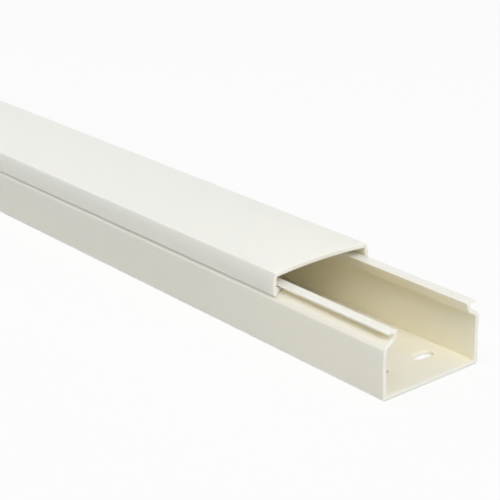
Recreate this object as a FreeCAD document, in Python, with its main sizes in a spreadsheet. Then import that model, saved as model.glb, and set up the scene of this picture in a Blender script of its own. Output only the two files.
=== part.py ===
import FreeCAD, Part
import math
import os
import Sketcher

# Cord cover raceway: a channel and a clip-on lid, each extruded in rigid PVC.
# X runs along the stock, Y across it and Z up from the underside of the channel.

os.makedirs("parts", exist_ok=True)
doc = FreeCAD.newDocument("cord_cover_raceway")
sheet = doc.addObject("Spreadsheet::Sheet", "sizes")

# Every driving size, in mm. An inset is measured inwards from the side of the channel,
# and a drop is measured down from the crown of the lid.
SIZES = [
    ("stock_length", 2000.0, "length of the channel and of the lid"),
    ("lid_setback", 74.0, "how far the lid is slid back from the front end"),
    ("outer_width", 60.0, "width over the walls"),
    ("overall_height", 39.6, "height of the closed raceway at the crown"),
    ("snap_clearance", 0.3, "play between the lid and the channel"),
    ("wall_thick", 1.9, "wall of the channel"),
    ("floor_thick", 1.9, "floor of the channel"),
    ("bottom_round", 1.5, "outer bottom corner"),
    ("crease_drop", 14.9, "top of the upright wall"),
    ("crease_round", 0.8, "rounding at the top of the upright wall"),
    ("shoulder_inset", 1.8, "bend of the sloping shoulder"),
    ("shoulder_drop", 12.8, "bend of the sloping shoulder"),
    ("shoulder_round", 5.0, "rounding of the shoulder"),
    ("neck_foot_inset", 5.3, "outer foot of the neck"),
    ("neck_foot_drop", 10.4, "outer foot of the neck"),
    ("neck_foot_round", 0.5, "rounding at the foot of the neck"),
    ("neck_top_inset", 5.95, "where the neck meets the lip"),
    ("lip_under_drop", 8.1, "underside of the lip"),
    ("neck_top_round", 0.25, "rounding under the lip"),
    ("lip_tip_inset", 2.3, "outer tip of the lip"),
    ("lip_thick", 1.0, "thickness of the lip"),
    ("lip_tip_round", 0.4, "rounding of the lip's tip"),
    ("lip_inner_inset", 8.5, "inner top edge of the lip"),
    ("lip_inner_drop", 7.2, "inner top edge of the lip"),
    ("lip_inner_round", 0.3, "rounding of the inner top edge"),
    ("neck_root_inset", 6.65, "inner root of the neck"),
    ("neck_root_drop", 12.0, "inner root of the neck"),
    ("neck_root_round", 0.8, "rounding of the inner root"),
    ("wall_top_drop", 14.85, "inner top of the upright wall"),
    ("wall_top_round", 2.0, "rounding at the inner top of the wall"),
    ("lid_thick", 2.0, "wall of the lid"),
    ("crown_radius", 320.0, "slight crown of the lid's top"),
    ("lid_overhang", 0.4, "how far the lid's sides bulge past the channel's"),
    ("side_radius", 15.5, "bow of the lid's sides"),
    ("side_drop", 8.1, "widest part of the lid"),
    ("tip_clearance", 0.55, "play between the lip's tip and the lid's side"),
    ("lid_crease_round", 0.4, "edge between the lid's top and side"),
    ("lid_inner_round", 0.8, "inner corner of the lid"),
    ("lid_edge_round", 0.7, "lower edge of the lid's side"),
    ("hook_reach", 0.7, "how far past the neck's foot the hook's faces would meet"),
    ("hook_tip_round", 0.65, "rounding of the hook's tip"),
    ("hook_root_round", 0.3, "rounding where the hook meets the side"),
    ("slot_width", 6.0, "screw slot, along the raceway"),
    ("slot_length", 12.0, "screw slot, across the raceway"),
    ("slot_inset", 15.5, "middle of a slot"),
    ("slot_end", 20.0, "from each end to the nearest pair"),
    ("slot_pairs", 6, "number of pairs, spread evenly"),
]
size = {}
for row, (alias, number, meaning) in enumerate(SIZES, start=1):
    sheet.set("A%d" % row, alias)
    sheet.set("B%d" % row, str(number))
    sheet.set("C%d" % row, meaning)
    sheet.setAlias("B%d" % row, alias)
    size[alias] = number
doc.recompute()


def rule(text):
    """The text with each size's name turned into its cell."""
    for alias in sorted(size, key=len, reverse=True):
        text = text.replace("<%s>" % alias, "sizes.%s" % alias)
    return text


def add(sketch, kind, *where, name=None, by=None):
    """One constraint, and the rule in the sheet that drives it."""
    index = sketch.addConstraint(Sketcher.Constraint(kind, *where))
    if name:
        sketch.renameConstraint(index, name)
        sketch.setExpression("Constraints." + name, rule(by))


def pin(sketch, name, geo, end, place, rules):
    """Holds a point at a distance across and up from the origin."""
    for kind, number, text, axis in (("DistanceX", place[0], rules[0], -2),
                                     ("DistanceY", place[1], rules[1], -1)):
        if text == "0":
            add(sketch, "PointOnObject", geo, end, axis)
        elif text:
            add(sketch, kind, -1, 1, geo, end, number, name=name + kind[-1], by=text)


def outline(sketch, corners, bows):
    """A closed outline of lines and bows, with its corners rounded.

    Each corner is its name, its place, the rules of its place and the name
    of its rounding. Each bow takes the place of the line after its corner.
    Gives the side that follows each corner.
    """
    count = len(corners)
    spots = [FreeCAD.Vector(c[1][0], c[1][1], 0) for c in corners]
    up = FreeCAD.Vector(0, 0, 1)
    arrive, leave, turns, centres = [], [], [], []
    for i in range(count):
        back = (spots[i - 1] - spots[i]).normalize()
        ahead = (spots[(i + 1) % count] - spots[i]).normalize()
        half = back.getAngle(ahead) / 2
        radius = size[corners[i][3]] if corners[i][3] else 0.0
        reach = radius / math.tan(half)
        arrive.append(spots[i] + back * reach)
        leave.append(spots[i] + ahead * reach)
        middle = (back + ahead).normalize() if radius else up
        centres.append(spots[i] + middle * (radius / math.sin(half)))
        turns.append((back * -1).cross(ahead).z > 0)

    def arc(centre, radius, first, last, left):
        """An arc from first to last, and its two ends in that order."""
        if not left:
            first, last = last, first
        angles = [math.atan2(p.y - centre.y, p.x - centre.x) for p in (first, last)]
        circle = Part.Circle(centre, up, radius)
        geo = sketch.addGeometry(Part.ArcOfCircle(circle, angles[0], angles[1]), False)
        return (geo, 1, 2) if left else (geo, 2, 1)

    pieces = []
    for i in range(count):
        first, last = leave[i], arrive[(i + 1) % count]
        if i in bows:
            name, place, rules, radius, radius_rule, left = bows[i]
            centre = FreeCAD.Vector(place[0], place[1], 0)
            piece = arc(centre, radius, first, last, left)
            pin(sketch, name + "_centre_", piece[0], 3, place, rules)
            add(sketch, "Radius", piece[0], radius, name=name + "_radius", by=radius_rule)
        else:
            piece = (sketch.addGeometry(Part.LineSegment(first, last), False), 1, 2)
        pieces.append(piece)
    for i in range(count):
        name, place, rules, rounding = corners[i]
        before, after = pieces[i - 1], pieces[i]
        if rounding:
            radius = size[rounding]
            bend = arc(centres[i], radius, arrive[i], leave[i], turns[i])
            add(sketch, "Tangent", before[0], before[2], bend[0], bend[1])
            add(sketch, "Tangent", bend[0], bend[2], after[0], after[1])
            add(sketch, "Radius", bend[0], radius, name=name + "_r", by="<%s>" % rounding)
            if rules[0] or rules[1]:
                dot = sketch.addGeometry(Part.Point(spots[i]), True)
                add(sketch, "PointOnObject", dot, 1, before[0])
                add(sketch, "PointOnObject", dot, 1, after[0])
                pin(sketch, name + "_", dot, 1, place, rules)
        else:
            add(sketch, "Coincident", before[0], before[2], after[0], after[1])
            pin(sketch, name + "_", after[0], after[1], place, rules)
    return {corners[i][0]: pieces[i][0] for i in range(count)}


def new_sketch(body, name, role):
    """A sketch that lies on one of the body's own planes."""
    sketch = body.newObject("Sketcher::SketchObject", name)
    plane = [p for p in body.Origin.OriginFeatures if p.Role == role][0]
    sketch.AttachmentSupport = [(plane, "")]
    sketch.MapMode = "FlatFace"
    return sketch


def extruded(body, sketch, name):
    """Half a section, drawn out along the stock and mirrored across it."""
    pad = body.newObject("PartDesign::Pad", name + "_half")
    pad.Profile = sketch
    pad.Type = "Length"
    pad.Midplane = True
    pad.setExpression("Length", rule("<stock_length>"))
    body.Tip = pad
    doc.recompute()
    whole = body.newObject("PartDesign::Mirrored", name + "_whole")
    whole.Originals = [pad]
    plane = [p for p in body.Origin.OriginFeatures if p.Role == "XZ_Plane"][0]
    whole.MirrorPlane = (plane, [""])
    body.Tip = whole
    doc.recompute()
    return whole


def side(inset):
    """How far from the middle a point with this inset is."""
    return size["outer_width"] / 2 - size[inset]


def height(drop):
    """The height of a point with this drop."""
    return size["overall_height"] - size[drop]


HALF = "<outer_width> / 2"
CROWN = "<overall_height>"

# Channel: floor, upright walls, shoulders that slope in, and necks whose lips turn out.
base = doc.addObject("PartDesign::Body", "base")
base.Label = "base"
base_section = new_sketch(base, "base_section", "YZ_Plane")
half_width = size["outer_width"] / 2
lip_top = height("lip_under_drop") + size["lip_thick"]
base_corners = [
    ("middle_low", (0.0, 0.0), ("0", "0"), None),
    ("bottom", (half_width, 0.0), (HALF, "0"), "bottom_round"),
    ("crease", (half_width, height("crease_drop")), (HALF, CROWN + " - <crease_drop>"),
     "crease_round"),
]
for name, inset, drop, rounding in [
        ("shoulder", "shoulder_inset", "shoulder_drop", "shoulder_round"),
        ("neck_foot", "neck_foot_inset", "neck_foot_drop", "neck_foot_round"),
        ("neck_top", "neck_top_inset", "lip_under_drop", "neck_top_round"),
        ("lip_low", "lip_tip_inset", "lip_under_drop", "lip_tip_round"),
        ("lip_high", "lip_tip_inset", None, "lip_tip_round"),
        ("lip_inner", "lip_inner_inset", "lip_inner_drop", "lip_inner_round"),
        ("neck_root", "neck_root_inset", "neck_root_drop", "neck_root_round"),
        ("wall_top", "wall_thick", "wall_top_drop", "wall_top_round")]:
    rules = [HALF + " - <%s>" % inset, CROWN + " - <%s>" % drop]
    place = (side(inset), height(drop) if drop else lip_top)
    if not drop:
        rules[1] = CROWN + " - <lip_under_drop> + <lip_thick>"
    base_corners.append((name, place, rules, rounding))
base_corners += [
    ("wall_foot", (side("wall_thick"), size["floor_thick"]),
     (HALF + " - <wall_thick>", "<floor_thick>"), None),
    ("middle_high", (0.0, size["floor_thick"]), ("0", "<floor_thick>"), None),
]
outline(base_section, base_corners, {})
doc.recompute()
base_whole = extruded(base, base_section, "base")

# Screw slots: pairs of obrounds punched through the floor, long way across the raceway.
slots = new_sketch(base, "slot_section", "XY_Plane")
radius = size["slot_width"] / 2
reach = size["slot_length"] / 2 - radius
first_x = size["slot_end"] - size["stock_length"] / 2
for number, hand in ((1, 1), (2, -1)):
    middle = hand * side("slot_inset")
    high = FreeCAD.Vector(first_x, middle + reach, 0)
    low = FreeCAD.Vector(first_x, middle - reach, 0)
    out = FreeCAD.Vector(radius, 0, 0)
    axis = FreeCAD.Vector(0, 0, 1)
    top = slots.addGeometry(Part.ArcOfCircle(Part.Circle(high, axis, radius), 0, math.pi), False)
    foot = slots.addGeometry(Part.ArcOfCircle(Part.Circle(low, axis, radius), math.pi,
                                              2 * math.pi), False)
    left = slots.addGeometry(Part.LineSegment(high - out, low - out), False)
    right = slots.addGeometry(Part.LineSegment(low + out, high + out), False)
    add(slots, "Tangent", top, 2, left, 1)
    add(slots, "Tangent", left, 2, foot, 1)
    add(slots, "Tangent", foot, 2, right, 1)
    add(slots, "Tangent", right, 2, top, 1)
    add(slots, "Radius", top, radius, name="slot%d_r" % number, by="<slot_width> / 2")
    add(slots, "Equal", top, foot)
    name = "slot%d_high_" % number
    sign = "" if hand > 0 else "-"
    travel = "(<slot_length> - <slot_width>) / 2"
    end_rule = "<slot_end> - <stock_length> / 2"
    middle_rule = sign + "(" + HALF + " - <slot_inset>)"
    pin(slots, name, top, 3, (high.x, high.y), (end_rule, middle_rule + " + " + travel))
    pin(slots, "slot%d_low_" % number, foot, 3, (low.x, low.y),
        (end_rule, middle_rule + " - " + travel))
doc.recompute()
before_slots = base.Shape.Volume
cut = base.newObject("PartDesign::Pocket", "slot_cut")
cut.Profile = slots
cut.Type = "Length"
cut.Midplane = True
cut.setExpression("Length", rule("<floor_thick> * 3"))
base.Tip = cut
doc.recompute()
one_pair = before_slots - base.Shape.Volume
row = base.newObject("PartDesign::LinearPattern", "slot_row")
row.Originals = [cut]
row.Direction = ([p for p in base.Origin.OriginFeatures if p.Role == "X_Axis"][0], [""])
row.setExpression("Length", rule("<stock_length> - 2 * <slot_end>"))
row.setExpression("Occurrences", rule("<slot_pairs>"))
base.Tip = row
doc.recompute()

# Lid: a crowned top with bowed sides that end in hooks, which snap under the lips.
lid = doc.addObject("PartDesign::Body", "lid")
lid.Label = "lid"
lid.setExpression(".Placement.Base.x", rule("-<lid_setback>"))
lid_section = new_sketch(lid, "lid_section", "YZ_Plane")
play = size["snap_clearance"]
run = (size["neck_foot_inset"] - size["shoulder_inset"],
       size["shoulder_drop"] - size["neck_foot_drop"])
slope = run[1] / run[0]
slant = math.hypot(run[0], run[1])
slope_rule = ("(<shoulder_drop> - <neck_foot_drop>) / "
              "(<neck_foot_inset> - <shoulder_inset>)")
slant_rule = ("sqrt((<neck_foot_inset> - <shoulder_inset>) ^ 2"
              " + (<shoulder_drop> - <neck_foot_drop>) ^ 2)")


def over_shoulder(inset):
    """Height of the hook's lower face, which lies over the shoulder with play."""
    above = play * slant / run[0]
    return height("shoulder_drop") + (inset - size["shoulder_inset"]) * slope + above


def over_shoulder_rule(inset):
    """The same height, from the sheet."""
    return ("<overall_height> - <shoulder_drop> + (%s - <shoulder_inset>) * %s"
            " + <snap_clearance> * %s / (<neck_foot_inset> - <shoulder_inset>)"
            % (inset, slope_rule, slant_rule))


crown = size["overall_height"]
crown_low = crown - size["crown_radius"]
bow_y = half_width + size["lid_overhang"] - size["side_radius"]
bow_z = height("side_drop")
hook_z = height("lip_under_drop") - play
leg_y = side("lip_tip_inset") + size["tip_clearance"]
leg_rule = HALF + " - <lip_tip_inset> + <tip_clearance>"
hook_inset = size["neck_foot_inset"] + size["hook_reach"]
hook_rule = "<neck_foot_inset> + <hook_reach>"
inner_z = crown_low + math.sqrt((size["crown_radius"] - size["lid_thick"]) ** 2 - leg_y ** 2)
bend_z = over_shoulder(size["shoulder_inset"])
edge_z = bend_z - 1.0
edge_y = bow_y + math.sqrt(size["side_radius"] ** 2 - (bow_z - edge_z) ** 2)
crease_z = crown_low + math.sqrt(size["crown_radius"] ** 2 - half_width ** 2)
crease_y = bow_y + math.sqrt(size["side_radius"] ** 2 - (crease_z - bow_z) ** 2)
lid_corners = [
    ("roof_low", (0.0, crown - size["lid_thick"]), ("0", None), None),
    ("inner", (leg_y, inner_z), (leg_rule, None), "lid_inner_round"),
    ("hook_root", (leg_y, hook_z),
     (leg_rule, CROWN + " - <lip_under_drop> - <snap_clearance>"), "hook_root_round"),
    ("hook_tip", (half_width - hook_inset, over_shoulder(hook_inset)),
     (HALF + " - (" + hook_rule + ")", over_shoulder_rule(hook_rule)), "hook_tip_round"),
    ("edge", (edge_y, edge_z), (None, None), "lid_edge_round"),
    ("lid_crease", (crease_y, crease_z), (None, None), "lid_crease_round"),
    ("roof_high", (0.0, crown), ("0", None), None),
]
low_rule = CROWN + " - <crown_radius>"
bow_rules = (HALF + " + <lid_overhang> - <side_radius>", CROWN + " - <side_drop>")
lid_bows = {
    0: ("inner_crown", (0.0, crown_low), ("0", low_rule),
        size["crown_radius"] - size["lid_thick"], "<crown_radius> - <lid_thick>", False),
    4: ("outer_side", (bow_y, bow_z), bow_rules, size["side_radius"], "<side_radius>", True),
    5: ("outer_crown", (0.0, crown_low), ("0", low_rule), size["crown_radius"],
        "<crown_radius>", True),
}
lid_sides = outline(lid_section, lid_corners, lid_bows)
# The hook's lower face also passes over the bend of the shoulder at the same play.
over_bend = (side("shoulder_inset"), bend_z)
dot = lid_section.addGeometry(Part.Point(FreeCAD.Vector(over_bend[0], over_bend[1], 0)), True)
add(lid_section, "PointOnObject", dot, 1, lid_sides["hook_tip"])
pin(lid_section, "over_bend_", dot, 1, over_bend,
    (HALF + " - <shoulder_inset>", over_shoulder_rule("<shoulder_inset>")))
doc.recompute()
lid_whole = extruded(lid, lid_section, "lid")

faults = []
for thing in doc.Objects:
    if "Invalid" in thing.State or "Error" in thing.State:
        faults.append("%s is %s" % (thing.Name, thing.State))
for sketch in (base_section, slots, lid_section):
    if sketch.solve() != 0:
        faults.append("%s isn't solved" % sketch.Name)
    print("%s constrained: %s" % (sketch.Name, sketch.FullyConstrained))
for body in (base, lid):
    if body.Shape.isNull() or not body.Shape.isValid() or len(body.Shape.Solids) != 1:
        faults.append("%s isn't one valid solid" % body.Name)
round_part = math.pi * radius ** 2
straight_part = size["slot_width"] * (size["slot_length"] - size["slot_width"])
pair_volume = 2 * size["floor_thick"] * (round_part + straight_part)
cut_away = before_slots - base.Shape.Volume
print("one pair cut away %.1f, worked out %.1f" % (one_pair, pair_volume))
if abs(one_pair - pair_volume) > 1.0 or abs(cut_away - size["slot_pairs"] * pair_volume) > 1.0:
    faults.append("the slots take %.1f mm3" % cut_away)
if faults:
    raise RuntimeError("; ".join(faults))
for body in (base, lid):
    body.Shape.exportStep("parts/%s.step" % body.Label)
    print("%s: %.0f mm3, box %s" % (body.Label, body.Shape.Volume, body.Shape.BoundBox))
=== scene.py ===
import math

import bmesh
import bpy
from mathutils import Matrix, Vector
from mathutils.geometry import intersect_line_sphere_2d, intersect_sphere_sphere_2d


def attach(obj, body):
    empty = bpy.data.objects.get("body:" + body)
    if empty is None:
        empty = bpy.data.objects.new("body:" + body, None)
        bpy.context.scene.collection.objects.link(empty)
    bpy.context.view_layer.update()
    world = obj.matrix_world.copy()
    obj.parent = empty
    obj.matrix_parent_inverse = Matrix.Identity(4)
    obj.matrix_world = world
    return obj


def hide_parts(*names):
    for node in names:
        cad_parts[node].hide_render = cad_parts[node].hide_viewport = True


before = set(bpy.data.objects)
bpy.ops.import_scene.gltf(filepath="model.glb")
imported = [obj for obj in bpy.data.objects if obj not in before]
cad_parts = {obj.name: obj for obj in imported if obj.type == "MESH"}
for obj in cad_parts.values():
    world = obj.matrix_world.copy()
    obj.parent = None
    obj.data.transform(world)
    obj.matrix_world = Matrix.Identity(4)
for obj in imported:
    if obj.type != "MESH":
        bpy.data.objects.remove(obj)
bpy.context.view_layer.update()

# The channel: the part that is fixed to the wall, with an upright wall each side, a shoulder
# that slopes in and a neck whose lip turns out to catch the lid. It is rigid PVC, extruded in
# one piece and sawn square; the screw slots are punched through its floor afterwards.

MM = 0.001
LENGTH = 2000.0            # stock length of the channel and of the lid
HALF = 30.0                # half the width over the walls
WALL = 1.9                 # thickness of the walls
FLOOR = 1.9                # thickness of the floor
CREASE = 24.7              # height of the wall's outer side
SHOULDER = (1.8, 26.8)     # inset and height of the shoulder's bend
NECK_FOOT = (5.3, 29.2)
NECK_TOP = 5.95            # inset of the neck where it meets the lip
LIP_UNDER = 31.5           # height of the lip's underside
LIP = 1.0                  # thickness of the lip
LIP_TIP = 2.3              # inset of the lip's tip
LIP_INNER = (8.5, 32.4)    # inner top edge of the lip
NECK_ROOT = (6.65, 27.6)   # inner root of the neck
WALL_TOP = 24.75           # height of the wall's inner side
SAWN = 0.08                # break along the sawn edges
ROUND_STEPS = 8            # flats in each rounded corner
SHARP = 24.0               # degrees from which an edge stays sharp


def at(inset, height):
    """A point of the section from its inset behind the wall's outer side and its height."""
    return Vector((HALF - inset, height))


def half_section(outline):
    """Half a section as one flat face. The outline pairs each corner with its rounding."""
    bm = bmesh.new()
    bm.faces.new([bm.verts.new((0.0, y * MM, z * MM)) for (y, z), radius in outline])
    return bm


def corner_at(bm, point):
    """The corner of the flat section at a point."""
    return min(bm.verts, key=lambda v: (v.co.yz - Vector(point) * MM).length)


def rounded(bm, outline):
    """Rounds each corner of the section that has a radius."""
    for point, radius in outline:
        if radius:
            corner = corner_at(bm, point)
            reach = radius * MM * math.tan(corner.calc_edge_angle() / 2)
            bmesh.ops.bevel(bm, geom=[corner], offset=reach, offset_type="OFFSET",
                            segments=ROUND_STEPS, profile=0.5, affect="VERTICES",
                            clamp_overlap=False, material=-1)


def extrusion(bm, setback, flat_middle):
    """Mirrors half a section, draws it out to its length and breaks its sawn edges.

    A section that is flat across the middle loses its corners there.
    """
    bmesh.ops.mirror(bm, geom=bm.verts[:] + bm.edges[:] + bm.faces[:], axis="Y",
                     merge_dist=0.0001 * MM)
    seam = [e for e in bm.edges if len(e.link_faces) == 2]
    bmesh.ops.dissolve_edges(bm, edges=seam, use_verts=flat_middle)
    rear = -LENGTH / 2 - setback
    bmesh.ops.translate(bm, verts=bm.verts, vec=((rear + SAWN) * MM, 0.0, 0.0))
    drawn = bmesh.ops.extrude_face_region(bm, geom=bm.faces[:])["geom"]
    drawn = [g for g in drawn if isinstance(g, bmesh.types.BMVert)]
    bmesh.ops.translate(bm, verts=drawn, vec=((LENGTH - 2 * SAWN) * MM, 0.0, 0.0))
    bmesh.ops.recalc_face_normals(bm, faces=bm.faces)
    # The two sawn ends are the faces with the most corners.
    ends = sorted(bm.faces, key=lambda f: -len(f.verts))[:2]
    for end in ends:
        bmesh.ops.inset_region(bm, faces=[end], thickness=SAWN * MM, depth=SAWN * MM,
                               use_even_offset=True, use_boundary=True)
    bm.normal_update()
    bmesh.ops.triangulate(bm, faces=ends, ngon_method="EAR_CLIP")


def smooth_object(name, bm):
    """The finished piece, smooth but for its sharp edges."""
    bmesh.ops.recalc_face_normals(bm, faces=bm.faces)
    for face in bm.faces:
        face.smooth = True
    for edge in bm.edges:
        edge.smooth = len(edge.link_faces) == 2 and edge.calc_face_angle(0) < math.radians(SHARP)
    mesh = bpy.data.meshes.new(name)
    bm.to_mesh(mesh)
    bm.free()
    obj = bpy.data.objects.new(name, mesh)
    bpy.context.scene.collection.objects.link(obj)
    return obj


# The corners with their roundings, from the middle of the underside round the wall's outer side
# and the lip, and back down the inner side to the middle of the floor.
base_outline = [
    ((0.0, 0.0), 0),
    (at(0, 0), 1.5),
    (at(0, CREASE), 0.8),
    (at(*SHOULDER), 5.0),
    (at(*NECK_FOOT), 0.5),
    (at(NECK_TOP, LIP_UNDER), 0.25),
    (at(LIP_TIP, LIP_UNDER), 0.4),
    (at(LIP_TIP, LIP_UNDER + LIP), 0.4),
    (at(*LIP_INNER), 0.3),
    (at(*NECK_ROOT), 0.8),
    (at(WALL, WALL_TOP), 2.0),
    (at(WALL, FLOOR), 0),
    ((0.0, FLOOR), 0),
]
base_bm = half_section(base_outline)
rounded(base_bm, base_outline)
extrusion(base_bm, 0.0, flat_middle=True)

SLOT_PAIRS = 6
SLOT_END = 20.0            # from each end to the middle of the nearest pair
SLOT_INSET = 15.5          # from the channel's side to the middle of a slot
SLOT_RADIUS = 3.0
SLOT_REACH = 3.0           # from the middle of a slot to the centre of each round end
SLOT_STEPS = 64            # round a slot
PUNCHED = 0.12             # how far the punch drags the upper rim down


def slot_rim(x, y, z, radius):
    """The edges of one loop round a slot, long way across the raceway.

    Half a step of turn keeps its corners off the line where the two round ends part.
    """
    half_step = Matrix.Rotation(math.pi / SLOT_STEPS, 4, "Z")
    place = Matrix.Translation((x * MM, y * MM, z * MM)) @ half_step
    loop = bmesh.ops.create_circle(base_bm, segments=SLOT_STEPS, radius=radius * MM,
                                   matrix=place)["verts"]
    for hand in (1, -1):
        end = [v for v in loop if (v.co.y - y * MM) * hand > 0]
        bmesh.ops.translate(base_bm, verts=end, vec=(0.0, hand * SLOT_REACH * MM, 0.0))
    return list(dict.fromkeys(e for v in loop for e in v.link_edges))


# Heights up a slot's wall and how much wider the slot is there: straight, then rounded off.
slot_levels = [(0.0, 0.0), (FLOOR - PUNCHED, 0.0), (FLOOR - PUNCHED / 3, PUNCHED / 3),
               (FLOOR, PUNCHED)]
underside, topside = [], []
pitch = (LENGTH - 2 * SLOT_END) / (SLOT_PAIRS - 1)
for pair in range(SLOT_PAIRS):
    for hand in (1, -1):
        x = SLOT_END - LENGTH / 2 + pitch * pair
        y = hand * (HALF - SLOT_INSET)
        rims = [slot_rim(x, y, z, SLOT_RADIUS + wider) for z, wider in slot_levels]
        for lower, upper in zip(rims, rims[1:]):
            bmesh.ops.bridge_loops(base_bm, edges=lower + upper)
        underside += rims[0]
        topside += rims[-1]

# The underside and the floor inside are the widest faces: each is filled again round its slots.
widest = sorted(base_bm.faces, key=lambda f: -f.calc_area())[:2]
widest.sort(key=lambda f: f.calc_center_median().z)
for face, slot_edges in zip(widest, (underside, topside)):
    around = list(face.edges)
    bmesh.ops.delete(base_bm, geom=[face], context="FACES_ONLY")
    bmesh.ops.triangle_fill(base_bm, use_beauty=True, use_dissolve=False,
                            edges=around + slot_edges)
channel = smooth_object("base_channel", base_bm)


def linear(text):
    """An sRGB hex colour turned to linear."""
    out = []
    for k in (0, 2, 4):
        c = int(text[k:k + 2], 16) / 255
        out.append(c / 12.92 if c <= 0.04045 else ((c + 0.055) / 1.055) ** 2.4)
    return tuple(out) + (1.0,)


def fill(target, inputs):
    """Gives each input of a node its value, or links it from another node's output."""
    for key, source in inputs.items():
        if isinstance(source, bpy.types.NodeSocket):
            target.id_data.links.new(source, target.inputs[key])
        else:
            target.inputs[key].default_value = source


def node(tree, kind, inputs, **settings):
    """Adds a node with its settings and fills its inputs."""
    new = tree.nodes.new(kind)
    for key, value in settings.items():
        setattr(new, key, value)
    fill(new, inputs)
    return new


def rigid_pvc(name, colour, painted_shade_colour, roughness):
    """Extruded rigid PVC, chalk-filled: a satin skin over a creamy body that light soaks into.

    Light spreads about 3 mm, so some comes through the walls and hollows look soft and a little
    warm. Their warmer cream is painted shade, mixed in where the piece's own ambient occlusion is
    deep.
    The die leaves faint lines along the stock and the cooling leaves a slow waviness. Rare dark
    specks of burnt resin show in it. The lines are drawn 1.1 mm apart, coarser than they are,
    so that they show at all.
    """
    soak = 3.0 * MM
    painted_shade_reach = 60 * MM
    burnt_resin = "8a8474"
    speck_spacing, speck_radius, speck_share = 11 * MM, 0.15 * MM, 0.3
    # Length, spacing, detail, strength and depth of each kind of relief.
    lines = (250 * MM, 1.1 * MM, 2.0, 0.12, 0.02 * MM)
    waves = (170 * MM, 17 * MM, 1.0, 0.25, 0.15 * MM)

    mat = bpy.data.materials.new(name)
    mat.use_nodes = True
    tree = mat.node_tree
    place = node(tree, "ShaderNodeTexCoord", {}).outputs["Object"]
    relief = {}
    for along, across, detail, strength, depth in (lines, waves):
        drawn = node(tree, "ShaderNodeMapping",
                     {"Vector": place, "Scale": (1 / along, 1 / across, 1 / across)})
        pattern = node(tree, "ShaderNodeTexNoise",
                       {"Vector": drawn.outputs[0], "Scale": 1.0, "Detail": detail})
        bump = node(tree, "ShaderNodeBump", {"Height": pattern.outputs["Fac"], **relief,
                                             "Strength": strength, "Distance": depth})
        relief = {"Normal": bump.outputs["Normal"]}

    cells = node(tree, "ShaderNodeTexVoronoi", {"Vector": place, "Scale": 1 / speck_spacing})
    small = node(tree, "ShaderNodeMath", {0: cells.outputs["Distance"],
                                          1: speck_radius / speck_spacing},
                 operation="LESS_THAN")
    chance = node(tree, "ShaderNodeSeparateColor", {"Color": cells.outputs["Color"]})
    rare = node(tree, "ShaderNodeMath", {0: chance.outputs["Red"], 1: 1 - speck_share},
                operation="GREATER_THAN")
    speck = node(tree, "ShaderNodeMath", {0: small.outputs[0], 1: rare.outputs[0]},
                 operation="MULTIPLY")

    # Painted shade: where the piece hides itself, its own ambient occlusion turns its colour
    # towards a warmer cream.
    painted_shade_ao = node(tree, "ShaderNodeAmbientOcclusion", {"Distance": painted_shade_reach},
                  only_local=True, samples=12)
    body = node(tree, "ShaderNodeMix", {"Factor": painted_shade_ao.outputs["AO"],
                                        "A": linear(painted_shade_colour), "B": linear(colour)},
                data_type="RGBA")
    tint = node(tree, "ShaderNodeMix", {"Factor": speck.outputs[0], "A": body.outputs["Result"],
                                        "B": linear(burnt_resin)},
                data_type="RGBA")
    fill(tree.nodes["Principled BSDF"], {
        "Base Color": tint.outputs["Result"], "Roughness": roughness, "IOR": 1.53, **relief,
        "Subsurface Weight": 0.8, "Subsurface Radius": (1.0, 0.92, 0.8), "Subsurface Scale": soak})
    return mat


# The second colour is painted shade, a warmer cream for the channel's hollows.
channel.data.materials.append(rigid_pvc("rigid_pvc_channel", "f5f2e6", "faeed2", 0.42))
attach(channel, "base")
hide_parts("base")

# The lid: a slightly crowned top with bowed sides that end in inward hooks. It is rigid PVC,
# extruded in one piece and sawn square, and it clips over the channel's lips, where it can be
# slid along. The photograph shows it slid back from the channel's front end.

SETBACK = 74.0             # how far the lid is slid back
CROWN = 39.6               # height of the closed raceway
CROWN_RADIUS = 320.0
LID_WALL = 2.0
PLAY = 0.3                 # between the hooks and the channel
TIP_PLAY = 0.55            # between the lips' tips and the lid's sides
OVERHANG = 0.4             # how far the sides bulge past the channel's
SIDE_RADIUS = 15.5
SIDE_HEIGHT = 31.5         # height of the widest part
HOOK_REACH = 0.7           # how far past the neck's foot the hook's faces would meet
CROWN_CUTS = 11            # corners along half the crown
SIDE_CUTS = 8              # corners along a side


def bowed(bm, first, last, centre, radius, cuts):
    """Bows a straight side of the section out to a circle."""
    side = bm.edges.get((corner_at(bm, first), corner_at(bm, last)))
    for part in bmesh.ops.bisect_edges(bm, edges=[side], cuts=cuts)["geom_split"]:
        if isinstance(part, bmesh.types.BMVert):
            out = (part.co.yz - centre * MM).normalized() * radius * MM
            part.co.yz = centre * MM + out


# The hook's lower face runs along the shoulder, and its upper face along the lip's underside.
crown_centre = Vector((0.0, CROWN - CROWN_RADIUS))
side_centre = at(-OVERHANG, SIDE_HEIGHT) - Vector((SIDE_RADIUS, 0.0))
slope = (NECK_FOOT[1] - SHOULDER[1]) / (NECK_FOOT[0] - SHOULDER[0])
above = PLAY * math.hypot(1.0, slope)
hook_inset = NECK_FOOT[0] + HOOK_REACH
bend = at(SHOULDER[0], SHOULDER[1] + above)
tip = at(hook_inset, SHOULDER[1] + (hook_inset - SHOULDER[0]) * slope + above)
root = at(LIP_TIP - TIP_PLAY, LIP_UNDER - PLAY)
leg = Vector((root.x, CROWN))
inner = max(intersect_line_sphere_2d(root, leg, crown_centre, CROWN_RADIUS - LID_WALL, False),
            key=lambda p: p.y)
edge = max(intersect_line_sphere_2d(tip, bend, side_centre, SIDE_RADIUS, False),
           key=lambda p: p.x)
crease = max(intersect_sphere_sphere_2d(crown_centre, CROWN_RADIUS, side_centre, SIDE_RADIUS),
             key=lambda p: p.x)
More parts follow.
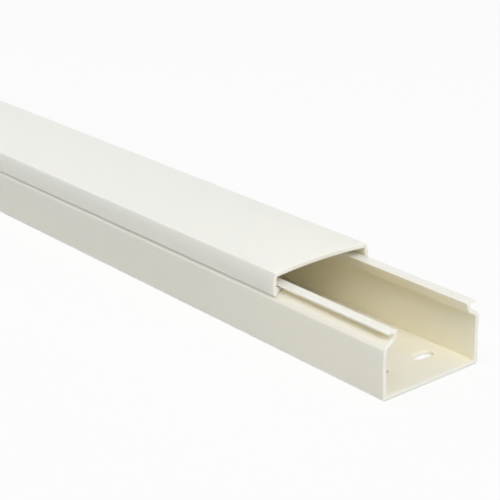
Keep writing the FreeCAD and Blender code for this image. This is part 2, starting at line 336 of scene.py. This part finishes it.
lid_outline = [
    ((0.0, CROWN - LID_WALL), 0),
    (inner, 0.8),          # inner corner between the top and the side
    (root, 0.3),           # where the hook meets the side
    (tip, 0.65),           # the hook's tip
    (edge, 0.7),           # lower edge of the side
    (crease, 0.4),         # outer edge between the side and the top
    ((0.0, CROWN), 0),
]
lid_bm = half_section(lid_outline)
bowed(lid_bm, (0.0, CROWN - LID_WALL), inner, crown_centre, CROWN_RADIUS - LID_WALL, CROWN_CUTS)
bowed(lid_bm, edge, crease, side_centre, SIDE_RADIUS, SIDE_CUTS)
bowed(lid_bm, crease, (0.0, CROWN), crown_centre, CROWN_RADIUS, CROWN_CUTS)
rounded(lid_bm, lid_outline)
extrusion(lid_bm, SETBACK, flat_middle=False)
lid = smooth_object("lid_cover", lid_bm)
# The second colour is painted shade, a warmer cream for the lid's hollows.
lid.data.materials.append(rigid_pvc("rigid_pvc_lid", "f6f4ea", "faeed2", 0.38))
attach(lid, "lid")
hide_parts("lid")

# The studio: a plain pale floor under a plain sky, which rays from the camera, from glossy
# surfaces and through clear ones see as white. Long soft boxes hang along both sides, and
# smaller ones face the ends. Its sizes are in metres.

GROUND_HALF = 9.0          # from the middle of the floor to its sides
GROUND_WHITE = 0.85        # how far the floor turns white for those rays
SKY = 0.14                 # strength of the sky's light
MIDDLE = (0.0, 0.0, 0.0)   # the points of the raceway that the soft boxes face
FRONT = (0.85, 0.0, 0.0)
REAR = (-0.85, 0.0, 0.0)


def background_rays(tree):
    """1 for camera, glossy and transmission rays, which see the white background, else 0."""
    rays = node(tree, "ShaderNodeLightPath", {})
    bent = node(tree, "ShaderNodeMath", {0: rays.outputs["Is Glossy Ray"],
                                         1: rays.outputs["Is Transmission Ray"]},
                operation="MAXIMUM")
    return node(tree, "ShaderNodeMath", {0: rays.outputs["Is Camera Ray"], 1: bent.outputs[0]},
                operation="MAXIMUM").outputs[0]


white = (1.0, 1.0, 1.0, 1.0)
floor_bm = bmesh.new()
bmesh.ops.create_grid(floor_bm, x_segments=1, y_segments=1, size=GROUND_HALF)
floor = smooth_object("floor", floor_bm)
floor_mat = bpy.data.materials.new("pale_floor")
floor_mat.use_nodes = True
tree = floor_mat.node_tree
dull = tree.nodes["Principled BSDF"]
fill(dull, {"Base Color": linear("f4f4f2"), "Roughness": 0.9})
glow = node(tree, "ShaderNodeEmission", {"Color": white, "Strength": 1.0})
share = node(tree, "ShaderNodeMath", {0: background_rays(tree), 1: GROUND_WHITE},
             operation="MULTIPLY")
blend = node(tree, "ShaderNodeMixShader", {0: share.outputs[0], 1: dull.outputs[0],
                                           2: glow.outputs[0]})
fill(tree.nodes["Material Output"], {"Surface": blend.outputs[0]})
floor.data.materials.append(floor_mat)

world = bpy.data.worlds.new("studio")
bpy.context.scene.world = world
world.use_nodes = True
tree = world.node_tree
soft = tree.nodes["Background"]
fill(soft, {"Color": white, "Strength": SKY})
plain = node(tree, "ShaderNodeBackground", {"Color": white, "Strength": 1.0})
blend = node(tree, "ShaderNodeMixShader", {0: background_rays(tree), 1: soft.outputs[0],
                                           2: plain.outputs[0]})
fill(tree.nodes["World Output"], {"Surface": blend.outputs[0]})


def soft_box(name, place, faces, size, power):
    """A soft rectangular light, its size a length and a width, that faces a point."""
    data = bpy.data.lights.new(name, "AREA")
    data.shape = "RECTANGLE"
    data.size, data.size_y = size
    data.energy = power
    obj = bpy.data.objects.new(name, data)
    obj.location = place
    obj.rotation_euler = (Vector(faces) - Vector(place)).to_track_quat("-Z", "Y").to_euler()
    bpy.context.scene.collection.objects.link(obj)


soft_box("near_side", (0.0, -0.75, 1.5), MIDDLE, (4.4, 0.8), 16.4)
soft_box("far_side", (0.0, 1.2, 1.3), MIDDLE, (4.4, 1.0), 9.0)
soft_box("front_high", (3.15, -0.6, 3.0), FRONT, (1.6, 1.6), 40.0)
soft_box("front_low", (4.35, -0.4, 2.2), FRONT, (1.2, 1.2), 45.0)
soft_box("rear_high", (-4.0, 0.6, 3.0), REAR, (1.6, 1.6), 17.0)

# The camera: it stands where the photograph's stood, in metres, looks the same way and sees as
# wide. All three were fitted to the straight edges in the photograph.

PHOTO_WIDTH = 500.0        # pixels
FOCAL_LENGTH = 1528.8      # pixels of the photograph
SENSOR_WIDTH = 36.0        # millimetres
STAND = Vector((1.4335, -0.4507, 0.3096))
AHEAD = Vector((-0.7262, 0.5821, -0.3656))
ACROSS = Vector((0.6314, 0.7752, -0.0198))

camera = bpy.data.cameras.new("camera")
camera.sensor_width = SENSOR_WIDTH
camera.lens = SENSOR_WIDTH * FOCAL_LENGTH / PHOTO_WIDTH
camera.clip_end = 50.0
camera_object = bpy.data.objects.new("camera", camera)
ahead = AHEAD.normalized()
right = (ACROSS - ahead * ACROSS.dot(ahead)).normalized()
turn = Matrix((right, right.cross(ahead), -ahead)).transposed().to_4x4()
camera_object.matrix_world = Matrix.Translation(STAND) @ turn
bpy.context.scene.collection.objects.link(camera_object)
bpy.context.scene.camera = camera_object
bpy.context.scene.view_settings.view_transform = "Standard"
